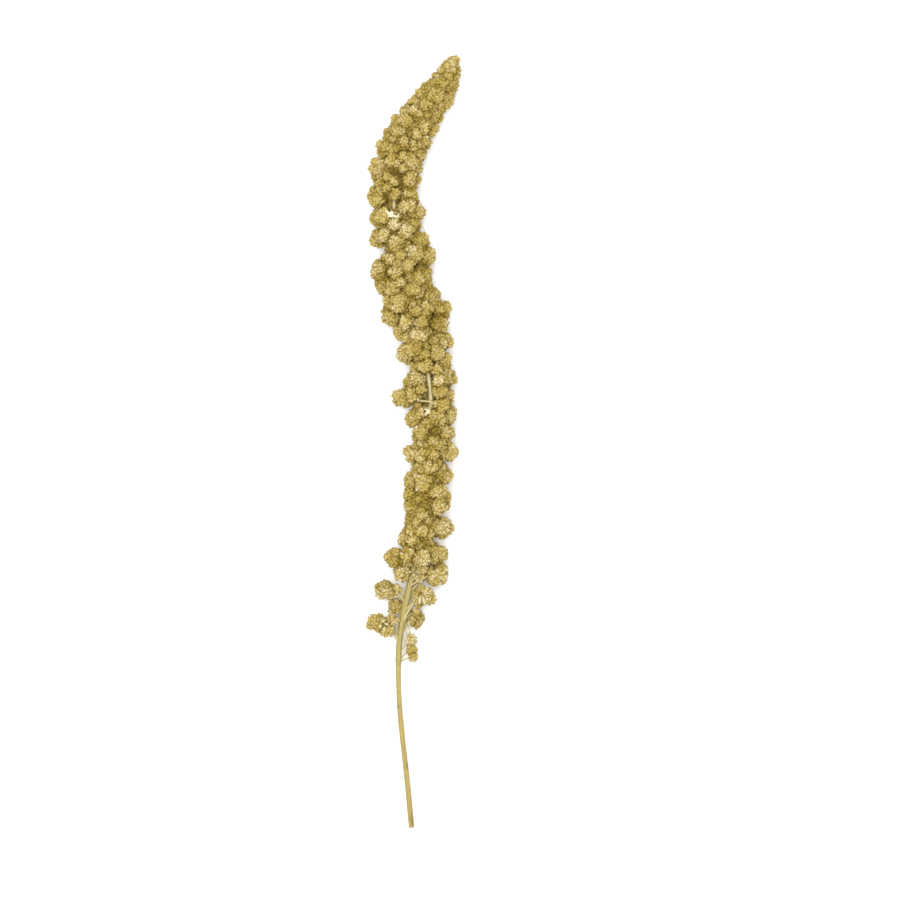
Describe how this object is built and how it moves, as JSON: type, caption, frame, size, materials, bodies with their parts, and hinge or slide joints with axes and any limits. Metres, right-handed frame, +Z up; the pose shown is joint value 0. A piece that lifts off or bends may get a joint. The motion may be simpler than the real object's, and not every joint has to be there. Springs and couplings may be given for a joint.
{
  "type": "foxtail millet head",
  "caption": "Dried foxtail millet head on its bare cut stalk, lying down: a bowed spike of clustered grain for dried arrangements.",
  "frame": {"origin": "centre of the bounding box's bottom, on the surface that the head lies on", "axes": "+Y runs from the cut end of the stalk to the tip of the head, +Z is up from the surface, +X is to the right seen from above with the tip away"},
  "size_m": [0.043, 0.3485, 0.0251],
  "materials": {
    "grain": "matt dried grain, golden with olive crevices",
    "straw": "smooth dry straw, slightly glossy"
  },
  "bodies": {
    "root": {"seed_head": "grain", "stalk": "straw"}
  },
  "joints": []
}
